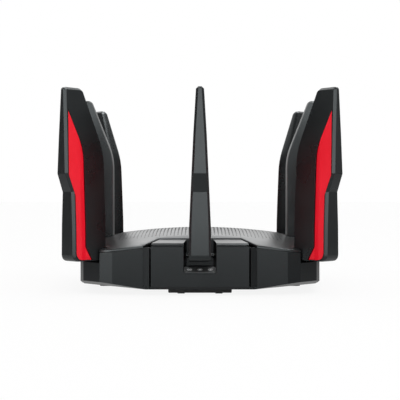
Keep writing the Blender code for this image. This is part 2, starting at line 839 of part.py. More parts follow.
def make_front_buttons():
    shelf = make_shelf()
    frame = shelf_frame()
    width, length = BUTTON_SIZE
    under = -SHELF_THICK - GAP
    overlap = 0.1
    reach = 4.0
    for index, name in enumerate(("button_left", "button_middle", "button_right")):
        aside = Matrix.Translation(((index - 1) * BUTTON_PITCH * MM, 0, 0))
        hole = rounded_plate("hole", width + 2 * GAP, length + 2 * GAP, -reach, reach, BUTTON_ROUND + GAP)
        cut(shelf, transformed(hole, frame @ aside))
        button = rounded_plate("cap", width, length, under - overlap, BUTTON_PROUD, BUTTON_ROUND)
        skirt = rounded_plate(
            "skirt",
            width + BUTTON_SKIRT,
            length + BUTTON_SKIRT,
            under - BUTTON_SKIRT_THICK,
            under,
            BUTTON_SKIRT_ROUND,
        )
        join(button, skirt)
        named(button, name, shell_plastic)
        button.matrix_world = frame @ aside
    named(shelf, "button_shelf", dark_plastic)


# ---------------------------------------------------------------- electronics

def make_board():
    corner = BOARD_CORNER * math.sqrt(2) - BOARD_HALF
    quarter = [(corner, -BOARD_HALF), (BOARD_HALF, -corner)]
    outline = []
    for count in range(4):
        spin = Matrix.Rotation(math.radians(90 * count), 2)
        outline += [tuple(spin @ Vector(point)) for point in quarter]
    return slab("board", outline, BOARD_BOTTOM, BOARD_BOTTOM + BOARD_THICK)


def make_can():
    x, y, height = CAN
    low = BOARD_BOTTOM + BOARD_THICK + GAP
    wall = 0.6
    can = box("can", (-x / 2, x / 2), (-y / 2, y / 2), (low, low + height))
    clear_x = x / 2 - wall
    clear_y = y / 2 - wall
    inside = box("inside", (-clear_x, clear_x), (-clear_y, clear_y), (0, low + height - wall))
    return cut(can, inside)


def make_sink():
    x, y, height = SINK
    low = BOARD_BOTTOM + BOARD_THICK + GAP + CAN[2] + GAP
    sink = box("sink", (-x / 2, x / 2), (-y / 2, y / 2), (low, low + SINK_BASE))
    for index in range(SINK_FINS):
        at = -x / 2 + FIN_THICK / 2 + (x - FIN_THICK) * index / (SINK_FINS - 1)
        fin = box("fin", (at - FIN_THICK / 2, at + FIN_THICK / 2), (-y / 2, y / 2), (low + PAST, low + height))
        join(sink, fin)
    return sink


def make_net_socket():
    """A socket whose mouth is at y = 0 and looks along -Y, standing on z = 0."""
    width, height, depth = NET_SOCKET
    plug_width, plug_height, plug_depth = NET_PLUG
    latch_width, latch_height, latch_depth = NET_LATCH
    socket = box("socket", (-width / 2, width / 2), (0, depth), (0, height))
    low = (height - plug_height - latch_height) / 2 + latch_height
    plug = box("plug", (-plug_width / 2, plug_width / 2), (-PAST, plug_depth), (low, low + plug_height))
    latch_half = latch_width / 2
    latch = box("latch", (-latch_half, latch_half), (-PAST, latch_depth), (low - latch_height, low + PAST))
    return cut(socket, plug, latch)


def make_usb_socket():
    width, height, depth = USB_SOCKET
    plug_width, plug_height, plug_depth = USB_PLUG
    tongue_width, tongue_height, tongue_length = USB_TONGUE
    socket = box("socket", (-width / 2, width / 2), (0, depth), (0, height))
    low = (height - plug_height) / 2
    plug = box("plug", (-plug_width / 2, plug_width / 2), (-PAST, plug_depth), (low, low + plug_height))
    cut(socket, plug)
    over_tongue = 0.7
    high = low + plug_height - over_tongue
    start = plug_depth - tongue_length
    half = tongue_width / 2
    tongue = box("tongue", (-half, half), (start, plug_depth + PAST), (high - tongue_height, high))
    return join(socket, tongue)


def make_dc_socket():
    width, height, depth = DC_SOCKET
    socket = box("socket", (-width / 2, width / 2), (0, depth), (0, height))
    middle = height / 2
    hole_depth = 10.0
    hole = rod("hole", DC_HOLE_RADIUS, (0, -PAST, middle), (0, hole_depth, middle))
    cut(socket, hole)
    pin_start = 1.0
    pin = rod("pin", DC_PIN_RADIUS, (0, pin_start, middle), (0, hole_depth + PAST, middle), 12)
    return join(socket, pin)


def make_power_button():
    """A square push button with a stem, drawn like the sockets and centred on z = 0."""
    half = POWER_SIZE / 2
    front, back = POWER_CAP
    cap = box("cap", (-half, half), (front, back), (-half, half))
    bevelled(cap, POWER_EDGE)
    overlap = 0.5
    stem_half = POWER_STEM / 2
    stem = box("stem", (-stem_half, stem_half), (back - overlap, KEY_DEPTH), (-stem_half, stem_half))
    return join(cap, stem)


def make_reset_button():
    front, back = RESET_CAP
    overlap = 0.5
    cap = rod("cap", RESET_RADIUS, (0, front, 0), (0, back, 0), 16)
    stem = rod("stem", RESET_STEM_RADIUS, (0, back - overlap, 0), (0, KEY_DEPTH, 0), 16)
    return join(cap, stem)


def net_sockets():
    """Each network socket's side, its place along that side, and the face that it is flush with."""
    return {
        "net_socket_1": ("left", -NET_IN_FLANK, FLANK),
        "net_socket_2": ("rear", REAR_NET, FLANK),
        "net_socket_3": ("rear", -NET_IN_BLOCK, BLOCK_FACE),
        "net_socket_4": ("rear", NET_IN_BLOCK, BLOCK_FACE),
        "net_socket_5": ("right", NET_IN_FLANK, FLANK),
    }


def placed(side, along, face, z):
    """The matrix that takes a piece drawn at the front's middle to a place on a side.

    along runs to the right as one looks at that side from outside.
    """
    spin = Matrix.Rotation(math.radians(SIDES[side] + 90), 4, "Z")
    return spin @ Matrix.Translation(Vector((along, -face, z)) * MM)


def wall_hole(side, along, face, z, width, height):
    """A cutter through a wall, for a piece that is drawn like the sockets."""
    deep = 4.0
    limits = (-width / 2 - GAP, width / 2 + GAP)
    hole = box("hole", limits, (-deep, deep + PAST), (-GAP, height + GAP))
    return transformed(hole, placed(side, along, face, z))


def make_electronics(shell, blocks):
    """Makes the board, its sockets and keys, and cuts their holes in the walls."""
    named(make_board(), "main_board", board_green)
    named(make_can(), "shield_can", tin)
    named(make_sink(), "heat_sink", aluminium)
    stand = BOARD_BOTTOM + BOARD_THICK + GAP
    for name, (side, along, face) in net_sockets().items():
        socket = transformed(make_net_socket(), placed(side, along, face - SOCKET_SUNK, stand))
        named(socket, name, dark_plastic)
        wall = blocks[side] if face == BLOCK_FACE else shell
        cut(wall, wall_hole(side, along, face, stand, *NET_SOCKET[:2]))
    usb_sockets = (("usb_socket_1", "left", USB_IN_FLANK), ("usb_socket_2", "right", -USB_IN_FLANK))
    for name, side, along in usb_sockets:
        socket = transformed(make_usb_socket(), placed(side, along, FLANK - SOCKET_SUNK, stand))
        named(socket, name, tin)
        cut(shell, wall_hole(side, along, FLANK, stand, *USB_SOCKET[:2]))
    socket = transformed(make_dc_socket(), placed("rear", DC_AT, FLANK - SOCKET_SUNK, stand))
    named(socket, "dc_socket", dark_plastic)
    cut(shell, wall_hole("rear", DC_AT, FLANK, stand, *DC_SOCKET[:2]))

    power = named(make_power_button(), "power_button", shell_plastic)
    power.matrix_world = placed("rear", POWER_AT, FLANK, KEY_Z)
    cut(shell, wall_hole("rear", POWER_AT, FLANK, KEY_Z - POWER_SIZE / 2, POWER_SIZE, POWER_SIZE))
    reset = named(make_reset_button(), "reset_button", dark_plastic)
    reset.matrix_world = placed("rear", RESET_AT, FLANK, KEY_Z)
    hole = rod("hole", RESET_RADIUS + GAP, (0, -PAST, 0), (0, WALL + PAST, 0), 16)
    cut(shell, transformed(hole, placed("rear", RESET_AT, FLANK, KEY_Z)))


# ---------------------------------------------------------------- feet

def make_foot():
    near, far = FOOT_R
    foot = box("foot", (-FOOT_HALF, FOOT_HALF), (-far, -near), (FOOT_BOTTOM, FLOOR_BOTTOM - GAP))
    bevelled(foot, FOOT_EDGE)
    width, length = PAD_SIZE
    middle = -(near + far) / 2
    for side in (-1, 1):
        at = side * PAD_AT
        pad = box(
            "pad",
            (at - width / 2, at + width / 2),
            (middle - length / 2, middle + length / 2),
            (0, FOOT_BOTTOM + PAST),
        )
        join(foot, pad)
    return foot


# ---------------------------------------------------------------- assembly

for old in list(bpy.data.objects):
    bpy.data.objects.remove(old, do_unlink=True)

parts = bpy.data.collections.new("wireless_router")
bpy.context.scene.collection.children.link(parts)

shell_plastic = make_material("shell_plastic", (0.030, 0.032, 0.034), 0.38)
dark_plastic = make_material("dark_plastic", (0.008, 0.008, 0.009), 0.45)
red_plastic = make_material("red_plastic", (0.80, 0.020, 0.040), 0.35)
board_green = make_material("circuit_board", (0.010, 0.120, 0.050), 0.5)
aluminium = make_material("aluminium", (0.60, 0.61, 0.62), 0.4, 1.0)
tin = make_material("tin_plate", (0.70, 0.70, 0.68), 0.3, 1.0)
rubber = make_material("rubber", (0.012, 0.012, 0.012), 0.8)

make_antennas()
bottom_shell = make_bottom_shell()
side_blocks = {
    side: turned(make_block(side == "front"), degrees + 90) for side, degrees in SIDES.items()
}
make_electronics(bottom_shell, side_blocks)
named(bottom_shell, "bottom_shell", shell_plastic)
named(make_top_cover(), "top_cover", shell_plastic)
for side, side_block in side_blocks.items():
    named(side_block, "side_block_" + side, shell_plastic)
make_front_buttons()
for side, degrees in SIDES.items():
    named(turned(make_foot(), degrees + 90), "foot_" + side, rubber)
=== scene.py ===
"""Looks of the square wireless router with eight blade antennas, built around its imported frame.

Lengths are in metres, in the frame's own axes: +Z is up and the front faces -Y. Sizes that are
easier to read in millimetres are multiplied by MM.
"""

import json
import math

import bmesh
import bpy
from mathutils import Matrix, Vector
from mathutils.geometry import delaunay_2d_cdt

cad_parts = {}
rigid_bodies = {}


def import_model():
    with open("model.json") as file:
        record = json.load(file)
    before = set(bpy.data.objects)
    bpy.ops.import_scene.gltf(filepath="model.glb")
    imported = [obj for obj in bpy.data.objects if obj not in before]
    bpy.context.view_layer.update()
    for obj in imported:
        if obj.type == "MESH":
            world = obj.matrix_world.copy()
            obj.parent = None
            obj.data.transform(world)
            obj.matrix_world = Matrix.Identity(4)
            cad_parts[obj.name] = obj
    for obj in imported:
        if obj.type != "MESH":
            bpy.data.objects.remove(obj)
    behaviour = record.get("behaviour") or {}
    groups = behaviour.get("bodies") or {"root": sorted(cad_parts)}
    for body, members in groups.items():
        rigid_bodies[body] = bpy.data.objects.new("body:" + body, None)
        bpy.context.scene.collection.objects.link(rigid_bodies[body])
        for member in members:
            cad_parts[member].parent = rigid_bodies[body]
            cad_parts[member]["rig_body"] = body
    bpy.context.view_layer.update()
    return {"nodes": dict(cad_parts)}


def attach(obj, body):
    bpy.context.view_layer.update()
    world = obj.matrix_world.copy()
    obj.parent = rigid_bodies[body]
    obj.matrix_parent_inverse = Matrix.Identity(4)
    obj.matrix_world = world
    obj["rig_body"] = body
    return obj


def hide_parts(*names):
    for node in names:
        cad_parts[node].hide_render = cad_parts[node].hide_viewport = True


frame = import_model()

MM = 0.001
SIDES = {"front": -90, "right": 0, "rear": 90, "left": 180}  # where each faces, in degrees
CORNERS = ("front_right", "rear_right", "rear_left", "front_left")
NET_SIDES = {
    "net_socket_1": "left",
    "net_socket_2": "rear",
    "net_socket_3": "rear",
    "net_socket_4": "rear",
    "net_socket_5": "right",
}
USB_SIDES = {"usb_socket_1": "left", "usb_socket_2": "right"}

# The level camera in front of the router
CAMERA_AHEAD = 0.943
CAMERA_HEIGHT = 0.084
LENS = 85
SENSOR_WIDTH = 36

# The studio
FILL_LIGHT = 0.9  # the room's brightness for diffuse rays
ROOM_GLOSS = 0.19  # and for glossy ones, away from the cards
CARDS = (  # axis, inner and outer angle in degrees, radiance
    ((0.0, -1.0, 0.10), 16, 34, 2.8),
    ((-0.69, -0.72, 0.0), 10, 18, 9.0),
    ((1.0, -0.1, 0.05), 10, 22, 0.3),
    ((-0.6, 1.0, 0.9), 27, 48, 1.15),
    ((0.5, 1.0, 0.95), 27, 47, 0.95),
    ((0.38, -0.1, 0.92), 17, 25, 11.0),
)
KEY_LIGHT_AT = (0.5, -1.3, 1.5)
KEY_LIGHT_SIZE = (1.4, 0.8)
KEY_LIGHT_POWER = 9.0

# The floor, and how bright glossy rays see its place. A pair is where a change starts and ends.
FLOOR_RADIUS = 40.0
FLOOR_GLOW = 0.88  # the share of it that the camera sees white, without any shadow
FLOOR_NEAR = 0.35  # near the object
NEAR_ENDS = (0.28, 0.55)  # from the middle
FLOOR_LEFT = 0.1  # what that gains near the object's left side
LEFT_STARTS = (-0.05, -0.22)  # along X
FLOOR_WIDE = 0.2  # beyond that
FLOOR_AHEAD = 2.7  # and far in front
AHEAD_STARTS = (-0.45, -0.95)  # along Y

# Soft edges, and turns between two faces in degrees
EDGE_WIDTH = 0.35 * MM
EDGE_SEGMENTS = 3
EDGE_TURN = 28  # a sharper turn gets a soft edge
SHELL_EDGE_TURN = 12  # and on the shell and its blocks
FLAT_TURN = 0.8  # a smaller turn is a flat face that was cut up
INLAY_CREASE = 6  # the inlays aren't shaded smoothly over this
CREASE = 40  # and the cover, the power pin and the screws over this
WELD = 0.001 * MM  # points that are nearer than this are one

# The top cover: a dome with rows of slots
DOME_HEIGHT = 57.0 * MM
DOME_FALL = 0.0009 / MM  # times the squared distance from the middle
COVER_THICK = 2.2 * MM
UNDER_SIDE_LIFT = 0.02 * MM  # how far the under side lies above that of the CAD cover
RIM = (  # how far in from the edge, and how far down
    (0.8 * MM, 0.0),
    (0.25 * MM, 0.28 * MM),
    (0.0, 0.8 * MM),
)
SLOT_COLUMN = 3.4 * MM
SLOT_ROW = 7.0 * MM
SLOT_FIELD = 76 * MM  # from the middle to the border of the slots
SLOT_MARGIN = 3.5 * MM  # between a slot and the cover's edge
SLOT_WIDTH = (1.7 * MM, 0.8 * MM)  # in the middle of the field and at its border
SLOT_LENGTH = (5.2 * MM, 2.6 * MM)
SLOT_END_STEPS = 4
GRID_STEP = 6  # millimetres between the points that carry the dome's curve
GRID_COUNT = 18  # of them on each side of the middle
UPWARD = 0.3  # an upper face's normal has at least this much Z
STRAIGHT = 0.01  # the sine of a turn that doesn't count as one
CDT_INSIDE = 1  # keeps the triangles inside the outlines
CDT_EPSILON = 1e-7

# The keys on the sloping shelf: distance from the middle and height of the slope's two ends
SHELF_EDGE = (105.8 * MM, 24.7 * MM)
SHELF_FRONT = (113.2 * MM, 20.5 * MM)
KEY_FORWARD = 0.7 * MM  # from the slope's middle to the keys' middle, down the slope
KEY_PITCH = 9.2 * MM
KEY_PROUD = 0.4 * MM  # from the slope to a key's top
MARK_WIDEN = 1.45  # the marks are drawn round and then widened
MARK_THICK = 0.08 * MM
MARK_GAP = 0.01 * MM  # between a mark and its key
DISC_STEPS = 14

# Contacts in the sockets, in millimetres
NET_CONTACTS = 8
NET_CONTACT_PATH = ((2.2, 11.9), (4.5, 11.8), (6.2, 11.3), (12.4, 8.9), (13.2, 8.8))  # (y, z)
NET_CONTACT_SIZES = (1.02, 0.22, 0.3)  # pitch, half width, thickness
USB_CONTACTS = 4
USB_CONTACT_PATH = ((2.0, 3.75), (2.6, 3.65), (10.5, 3.65))
USB_CONTACT_SIZES = (2.3, 0.5, 0.18)

# Turned metal, as profiles of (y, radius) in millimetres
PIN_PROFILE = ((0.7, 0), (0.7, 0.5), (0.85, 0.85), (1.2, 1.08), (9.6, 1.08), (9.6, 0))
PIN_SEGMENTS = 24
PIN_HEIGHT = 5.5 * MM  # of its axis above the socket's lower edge
SCREW_PROFILE = ((-0.75, 0), (-0.75, 1.6), (-0.6, 2.3), (-0.3, 2.7), (0.0, 2.8), (0.4, 2.8), (0.4, 0))
SCREW_SEGMENTS = 28
SCREW_CROSS = (3.2, 1.2, 0.7)  # the length, depth and width of one of its slots
SCREW_CROSS_MIDDLE = -0.8

# Screws under the posts that hold the board
SCREW_AT = 66.0 * MM
SCREW_CORNERS = ((-1, -1), (1, -1), (1, 1), (-1, 1))
SHELL_FLOOR = 5.0 * MM


# ---------------------------------------------------------------- materials

def node(tree, kind, inputs=None, **settings):
    """Adds a shader node. An input is a value, or the output socket that feeds it."""
    made = tree.nodes.new("ShaderNode" + kind)
    for name, value in settings.items():
        setattr(made, name, value)
    for name, value in (inputs or {}).items():
        if isinstance(value, bpy.types.NodeSocket):
            tree.links.new(value, made.inputs[name])
        else:
            made.inputs[name].default_value = value
    return made


def new_material(name):
    material = bpy.data.materials.new(name)
    material.use_nodes = True
    tree = material.node_tree
    shader = tree.nodes["Principled BSDF"]
    return material, tree, shader


def object_coordinates(tree):
    return node(tree, "TexCoord").outputs["Object"]


def noise(tree, size, detail=2.0, roughness=0.5, stretch=(1, 1, 1)):
    """Soft noise whose features are about size across.

    Its grid is turned, so that no flat face lies along it.
    """
    turn = (0.5, 0.9, 0.3)
    placing = {"Vector": object_coordinates(tree), "Scale": stretch, "Rotation": turn}
    spread = node(tree, "Mapping", placing)
    inputs = {"Vector": spread.outputs[0], "Scale": 1 / size, "Detail": detail, "Roughness": roughness}
    return node(tree, "TexNoise", inputs).outputs["Fac"]


def ranged(tree, value, low, high, start=0.3, end=0.7):
    """Maps a noise value to a range of its own."""
    inputs = {"Value": value, "From Min": start, "From Max": end, "To Min": low, "To Max": high}
    return node(tree, "MapRange", inputs).outputs[0]


def mixed(tree, share, one, two):
    """A colour between two, by a share."""
    made = node(tree, "Mix", data_type="RGBA")
    tree.links.new(share, made.inputs[0])
    for socket, colour in ((made.inputs[6], one), (made.inputs[7], two)):
        if isinstance(colour, bpy.types.NodeSocket):
            tree.links.new(colour, socket)
        else:
            socket.default_value = (*colour, 1.0)
    return made.outputs[2]


def bump(tree, shader, height, depth, strength):
    made = node(tree, "Bump", {"Height": height, "Distance": depth, "Strength": strength})
    tree.links.new(made.outputs[0], shader.inputs["Normal"])


def moulded_plastic(name, dark, light, roughness, specular=0.5):
    """Plastic from a spark-eroded mould: fine grain, and a finish that changes a little over each piece."""
    material, tree, shader = new_material(name)
    broad = noise(tree, 26 * MM, 3.0)
    fine = noise(tree, 0.35 * MM, 2.0, 0.6)
    spread = 0.03
    tree.links.new(mixed(tree, ranged(tree, broad, 0.0, 1.0), dark, light), shader.inputs["Base Color"])
    tree.links.new(ranged(tree, broad, roughness - spread, roughness + spread), shader.inputs["Roughness"])
    shader.inputs["Specular IOR Level"].default_value = specular
    shader.inputs["Specular Tint"].default_value = (0.90, 0.98, 1.0, 1.0)
    bump(tree, shader, fine, 0.02 * MM, 0.35)
    return material


def make_red():
    material, tree, shader = new_material("red_plastic")
    broad = noise(tree, 30 * MM, 2.0)
    fine = noise(tree, 0.3 * MM, 2.0, 0.6)
    colour = mixed(tree, ranged(tree, broad, 0.0, 1.0), (0.84, 0.0040, 0.019), (0.88, 0.0055, 0.023))
    tree.links.new(colour, shader.inputs["Base Color"])
    tree.links.new(ranged(tree, broad, 0.30, 0.36), shader.inputs["Roughness"])
    shader.inputs["Specular IOR Level"].default_value = 0.38
    bump(tree, shader, fine, 0.012 * MM, 0.5)
    return material


def make_print():
    """Grey ink with a little wear."""
    material, tree, shader = new_material("key_print")
    worn = noise(tree, 0.4 * MM, 3.0)
    colour = mixed(tree, ranged(tree, worn, 0.0, 1.0), (0.48, 0.49, 0.49), (0.58, 0.59, 0.59))
    tree.links.new(colour, shader.inputs["Base Color"])
    tree.links.new(ranged(tree, worn, 0.5, 0.65), shader.inputs["Roughness"])
    return material


def make_rubber():
    material, tree, shader = new_material("rubber")
    broad = noise(tree, 9 * MM, 3.0)
    fine = noise(tree, 0.5 * MM, 3.0, 0.7)
    colour = mixed(tree, ranged(tree, broad, 0.0, 1.0), (0.010, 0.010, 0.010), (0.019, 0.019, 0.020))
    tree.links.new(colour, shader.inputs["Base Color"])
    tree.links.new(ranged(tree, fine, 0.65, 0.85), shader.inputs["Roughness"])
    bump(tree, shader, fine, 0.05 * MM, 0.7)
    return material


def make_metal(name, colour, roughness, stretch, size):
    """Metal with marks drawn out along one axis."""
    material, tree, shader = new_material(name)
    marks = noise(tree, size, 4.0, 0.6, stretch)
    dull = tuple(part * 0.82 for part in colour)
    tree.links.new(mixed(tree, ranged(tree, marks, 0.0, 1.0), dull, colour), shader.inputs["Base Color"])
    tree.links.new(ranged(tree, marks, roughness - 0.07, roughness + 0.09), shader.inputs["Roughness"])
    shader.inputs["Metallic"].default_value = 1.0
    bump(tree, shader, marks, 0.02 * MM, 0.4)
    return material


def make_board_green():
    """Solder mask over copper tracks, with tinned pads."""
    material, tree, shader = new_material("circuit_board")
    coordinates = object_coordinates(tree)
    inputs = {"Vector": coordinates, "Scale": 1 / (6 * MM), "Randomness": 0.0}
    cells = node(tree, "TexVoronoi", inputs, feature="DISTANCE_TO_EDGE", distance="MANHATTAN")
    tracks = ranged(tree, cells.outputs["Distance"], 1.0, 0.0, 0.02, 0.05)
    mask = mixed(tree, tracks, (0.006, 0.060, 0.028), (0.012, 0.105, 0.045))
    spots = {"Vector": coordinates, "Scale": 1 / (4.2 * MM), "Randomness": 0.7}
    pads = node(tree, "TexVoronoi", spots).outputs["Distance"]
    is_pad = ranged(tree, pads, 1.0, 0.0, 0.10, 0.13)
    tree.links.new(mixed(tree, is_pad, mask, (0.62, 0.60, 0.55)), shader.inputs["Base Color"])
    tree.links.new(is_pad, shader.inputs["Metallic"])
    tree.links.new(ranged(tree, noise(tree, 3 * MM), 0.28, 0.42), shader.inputs["Roughness"])
    bump(tree, shader, tracks, 0.035 * MM, 0.8)
    return material


def make_plastics():
    """The moulded plastics. Each pair holds the darkest and the lightest colour of one."""
    antenna = ((0.0055, 0.0062, 0.0066), (0.0070, 0.0078, 0.0083))
    shell = ((0.0050, 0.0054, 0.0058), (0.0065, 0.0070, 0.0075))
    cover = ((0.0080, 0.0084, 0.0088), (0.0100, 0.0105, 0.0110))
    black = ((0.010, 0.010, 0.0105), (0.014, 0.014, 0.0145))
    keys = ((0.033, 0.034, 0.034), (0.041, 0.042, 0.042))
    return {
        "antenna": moulded_plastic("antenna_plastic", *antenna, 0.29),
        "shell": moulded_plastic("shell_plastic", *shell, 0.31, specular=0.27),
        "cover": moulded_plastic("cover_plastic", *cover, 0.33),
        "black": moulded_plastic("black_plastic", *black, 0.42),
        "keys": moulded_plastic("key_plastic", *keys, 0.42),
    }


def make_materials():
    return {
        **make_plastics(),
        "red": make_red(),
        "rubber": make_rubber(),
        "board": make_board_green(),
        "aluminium": make_metal("aluminium", (0.72, 0.73, 0.74), 0.34, (1, 0.06, 1), 1.2 * MM),
        "tin": make_metal("tin_plate", (0.75, 0.74, 0.71), 0.27, (1, 1, 0.3), 6 * MM),
        "print": make_print(),
        "gold": make_metal("gold_plate", (0.86, 0.62, 0.24), 0.24, (1, 1, 1), 3 * MM),
    }


# ---------------------------------------------------------------- objects and meshes

def placed_object(name, data):
    """Puts a mesh, light or camera into the scene."""
    thing = bpy.data.objects.new(name, data)
    bpy.context.scene.collection.objects.link(thing)
    return thing


def new_piece(name, mesh, material, body):
    """A visible piece that rides on a body, with one material."""
    mesh.name = name
    mesh.materials.clear()
    mesh.materials.append(material)
    piece = placed_object(name, mesh)
    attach(piece, body)
    return piece


def evaluated_mesh(thing):
    bpy.context.view_layer.update()
    graph = bpy.context.evaluated_depsgraph_get()
    return bpy.data.meshes.new_from_object(thing.evaluated_get(graph))


def joined_up(source, name):
    """A copy of a CAD mesh whose flat faces are whole again."""
    work = bmesh.new()
    work.from_mesh(source.data)
    bmesh.ops.remove_doubles(work, verts=work.verts, dist=WELD)
    bmesh.ops.dissolve_limit(work, angle_limit=math.radians(FLAT_TURN), verts=work.verts, edges=work.edges)
    mesh = bpy.data.meshes.new(name)
    work.to_mesh(mesh)
    work.free()
    return mesh


def softened(mesh, width, turn, crease):
    """Rounds the mesh's edges, and shades its faces smoothly, but not over a turn of crease degrees."""
    mesh.shade_smooth()
    mesh.set_sharp_from_angle(angle=math.radians(crease))
    holder = placed_object("holder", mesh)
    bevel = holder.modifiers.new("bevel", "BEVEL")
    bevel.width = width
    bevel.segments = EDGE_SEGMENTS
    bevel.angle_limit = math.radians(turn)
    weighted = holder.modifiers.new("normals", "WEIGHTED_NORMAL")
    weighted.weight = 100
    weighted.keep_sharp = True
    result = evaluated_mesh(holder)
    bpy.data.objects.remove(holder, do_unlink=True)
    return result


def refined(name, material, width=EDGE_WIDTH, turn=EDGE_TURN, crease=180):
    """Replaces a CAD node with a copy that has soft edges where it turns by more than turn degrees."""
    source = frame["nodes"][name]
    mesh = softened(joined_up(source, name), width, turn, crease)
    piece = new_piece(name + "_fine", mesh, material, source["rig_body"])
    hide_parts(name)


def painted(name, material):
    """Gives a CAD node a material, and leaves its shape alone."""
    frame["nodes"][name].material_slots[0].material = material


def finished_mesh(work, name, place=None):
    """Turns a bmesh into a mesh with outward faces, and moves it to its place."""
    bmesh.ops.recalc_face_normals(work, faces=work.faces)
    mesh = bpy.data.meshes.new(name)
    work.to_mesh(mesh)
    work.free()
    if place is not None:
        mesh.transform(place)
    return mesh


def shaded(mesh):
    """Shades a mesh smoothly, but not over its sharp edges."""
    mesh.shade_smooth()
    mesh.set_sharp_from_angle(angle=math.radians(CREASE))
    return mesh


# ---------------------------------------------------------------- top cover

def dome_height(spot):
    return DOME_HEIGHT - DOME_FALL * (spot.x * spot.x + spot.y * spot.y)


def outline_of(source):
    """The plan of the CAD cover as a counterclockwise loop, from the border of its upper faces."""
    work = bmesh.new()
    work.from_mesh(source.data)
    bmesh.ops.remove_doubles(work, verts=work.verts, dist=WELD)
    bmesh.ops.delete(work, geom=[face for face in work.faces if face.normal.z < UPWARD], context="FACES")
    after = {}
    for edge in work.edges:
        if edge.is_boundary:
            loop = edge.link_loops[0]
            after[loop.vert] = loop.link_loop_next.vert
    start = next(iter(after))
    spots = [start]
    while after[spots[-1]] is not start:
        spots.append(after[spots[-1]])
    outline = [Vector(source.matrix_world @ spot.co).to_2d() for spot in spots]
    work.free()
    return without_straight_runs(outline)


def without_straight_runs(outline):
    """The outline without the points that lie between two others on a straight line."""
    kept = []
    for index, here in enumerate(outline):
        back = (here - outline[index - 1]).normalized()
        ahead = (outline[(index + 1) % len(outline)] - here).normalized()
        if abs(back.x * ahead.y - back.y * ahead.x) > STRAIGHT:
            kept.append(here)
    return kept


def inset_outline(outline, distance):
    """The outline moved inward by a distance."""
    result = []
    for index, here in enumerate(outline):
        back = (here - outline[index - 1]).normalized()
        ahead = (outline[(index + 1) % len(outline)] - here).normalized()
        inward = (Vector((-back.y, back.x)) + Vector((-ahead.y, ahead.x))).normalized()
        result.append(here + inward * (distance / inward.dot(Vector((-back.y, back.x)))))
    return result


def inside(spot, outline):
    """Whether a spot lies within an outline."""
    found = False
    for one, two in zip(outline, outline[1:] + outline[:1]):
        if (one.y > spot.y) != (two.y > spot.y):
            found ^= spot.x < one.x + (two.x - one.x) * (spot.y - one.y) / (two.y - one.y)
    return found


def cover_slots(field):
    """The outlines of the slots that lie well inside the field, smaller towards its border."""
    slots = []
    columns = round(SLOT_FIELD / SLOT_COLUMN)
    rows = round(SLOT_FIELD / SLOT_ROW) + 1
    for column in range(-columns, columns + 1):
        for row in range(-rows, rows + 1):
            stagger = 0.5 if column % 2 else 0.0
            middle = Vector((column * SLOT_COLUMN, (row + stagger) * SLOT_ROW))
            share = min(1.0, (middle.length / SLOT_FIELD) ** 2)
            width = SLOT_WIDTH[0] + (SLOT_WIDTH[1] - SLOT_WIDTH[0]) * share
            length = SLOT_LENGTH[0] + (SLOT_LENGTH[1] - SLOT_LENGTH[0]) * share
            slot = slot_outline(middle, width / 2, length / 2)
            if abs(middle.y) < SLOT_FIELD and all(inside(spot, field) for spot in slot):
                slots.append(slot)
    return slots


def slot_outline(middle, half_width, half_length):
    """A slot along Y with round ends, counterclockwise."""
    outline = []
    for end, start in ((-1, 180), (1, 0)):
        centre = middle + Vector((0, end * (half_length - half_width)))
        for count in range(SLOT_END_STEPS + 1):
            angle = math.radians(start + 180 * count / SLOT_END_STEPS)
            outline.append(centre + Vector((math.cos(angle), math.sin(angle))) * half_width)
    return outline


def cover_plan(outline):
    """The cover's points in plan, the loops of its rim and slots, and how far each rim point lies down."""
    loops = [inset_outline(outline, inset) for inset, _ in RIM[::-1]]
    spots = []
    faces = []
    drops = {}
    for loop, (_, drop) in zip(loops, RIM[::-1]):
        faces.append(list(range(len(spots), len(spots) + len(loop))))
        for spot in loop:
            drops[len(spots)] = drop
            spots.append(spot)
    for slot in cover_slots(inset_outline(outline, SLOT_MARGIN)):
        faces.append(list(range(len(spots), len(spots) + len(slot))))
        spots += slot
    for x in range(-GRID_COUNT, GRID_COUNT + 1):
        for y in range(-GRID_COUNT, GRID_COUNT + 1):
            spot = Vector((x, y)) * GRID_STEP * MM
            if inside(spot, loops[-1]):
                spots.append(spot)
    return spots, faces, drops


def thick_dome(plane, triangles, sources, drops):
    """A bmesh of the triangles in plan, raised to the dome and given its thickness."""
    work = bmesh.new()
    upper = []
    lower = []
    for spot, came_from in zip(plane, sources):
        drop = max((drops.get(item, 0.0) for item in came_from), default=0.0)
        top = dome_height(spot)
        upper.append(work.verts.new((spot.x, spot.y, top - drop)))
        lower.append(work.verts.new((spot.x, spot.y, top - COVER_THICK + UNDER_SIDE_LIFT)))
    sides = {}  # a dict, because it keeps the same order in each run
    for face in triangles:
        work.faces.new([upper[index] for index in face])
        work.faces.new([lower[index] for index in reversed(face)])
        for one, two in zip(face, face[1:] + face[:1]):
            sides[one, two] = True
    for one, two in sides:
        if (two, one) not in sides:
            work.faces.new((upper[two], upper[one], lower[one], lower[two]))
    loose = [vert for vert in work.verts if not vert.link_faces]
    bmesh.ops.delete(work, geom=loose, context="VERTS")
    return work


def make_top_cover(material):
    """A thin dome with a rounded rim. Each slot goes right through it."""
    source = frame["nodes"]["top_cover"]
    spots, faces, drops = cover_plan(outline_of(source))
    made = delaunay_2d_cdt(spots, [], faces, CDT_INSIDE, CDT_EPSILON)
    plane, _, triangles, sources, _, origins = made
    # The rim's loops are the first faces, and the slots are the others
    solid = [face for face, origin in zip(triangles, origins) if all(item < len(RIM) for item in origin)]
    mesh = shaded(finished_mesh(thick_dome(plane, solid, sources, drops), "top_cover"))
    cover = new_piece("top_cover_fine", mesh, material, source["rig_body"])
    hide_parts("top_cover")


# ---------------------------------------------------------------- marks on the front keys

